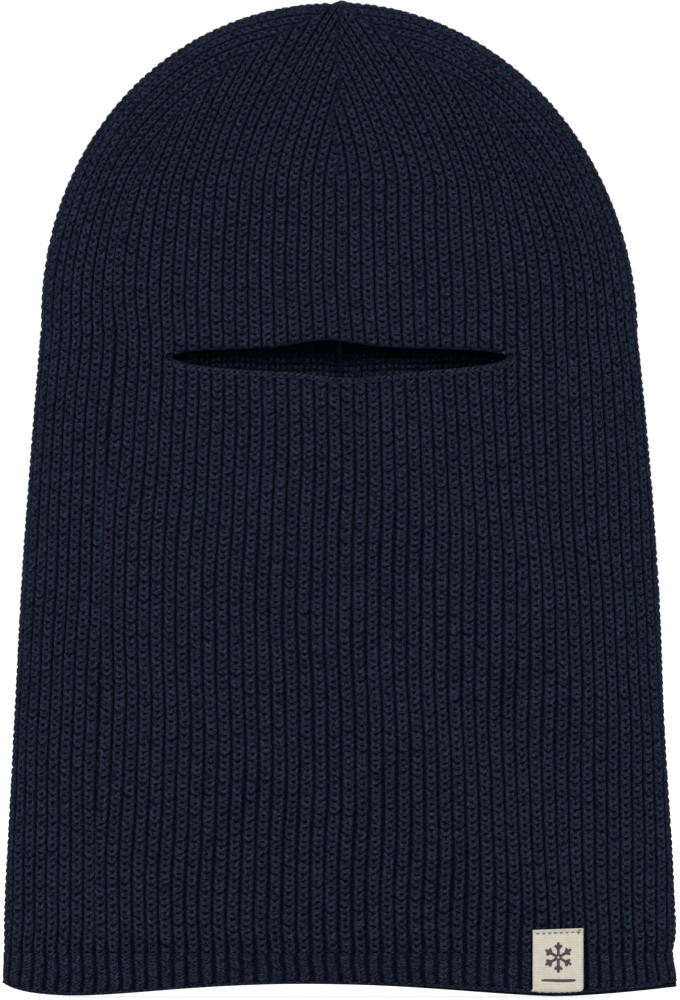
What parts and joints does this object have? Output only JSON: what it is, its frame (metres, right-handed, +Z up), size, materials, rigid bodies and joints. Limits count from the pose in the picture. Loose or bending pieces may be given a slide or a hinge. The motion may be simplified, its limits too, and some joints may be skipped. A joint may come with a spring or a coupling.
{
  "type": "knitted balaclava",
  "caption": "Close-fitting chunky rib-knit head and face covering with a rounded crown, a narrow eye slit, an open neck hem and a small folded woven label",
  "frame": {"origin": "in the middle of the open neck, on the level of the hem's lowest point", "axes": "+Z points up from the neck opening to the crown, -Y points out of the face, so the eye slit faces -Y, and +X points to the viewer's right of someone facing the slit; the neck label is on the +X side"},
  "size_m": [0.2432, 0.044, 0.3598],
  "materials": {
    "navy_rib_knit": "chunky fisherman's rib in matt wool-blend yarn",
    "navy_hem_welt": "tighter, finer rib in the same yarn",
    "navy_edge_band": "bound-off edge stitches",
    "navy_linking_yarn": "linked seam ridge",
    "navy_tack_thread": "dense bar of sewing thread",
    "ecru_woven_label": "matt woven tape",
    "charcoal_sewing_thread": "twisted thread"
  },
  "bodies": {
    "root": {"face_panel": "navy_rib_knit", "forehead_panel": "navy_rib_knit", "back_panel": "navy_rib_knit", "side_panel_left": "navy_rib_knit", "side_panel_right": "navy_rib_knit", "side_gore_left": "navy_rib_knit", "side_gore_right": "navy_rib_knit", "front_left_gore": "navy_rib_knit", "front_right_gore": "navy_rib_knit", "back_left_gore": "navy_rib_knit", "back_right_gore": "navy_rib_knit", "crown_closing": "navy_rib_knit", "hem_welt_front": "navy_hem_welt", "hem_welt_back": "navy_hem_welt", "eye_edge_lower": "navy_edge_band", "eye_edge_upper": "navy_edge_band", "front_left_crown_seam": "navy_linking_yarn", "front_right_crown_seam": "navy_linking_yarn", "back_left_crown_seam": "navy_linking_yarn", "back_right_crown_seam": "navy_linking_yarn", "centre_front_crown_seam": "navy_linking_yarn", "centre_back_crown_seam": "navy_linking_yarn", "centre_back_seam": "navy_linking_yarn", "eye_corner_tack_left": "navy_tack_thread", "eye_corner_tack_right": "navy_tack_thread", "brand_label": "ecru_woven_label", "care_label": "ecru_woven_label", "label_stitches": "charcoal_sewing_thread"}
  },
  "joints": []
}
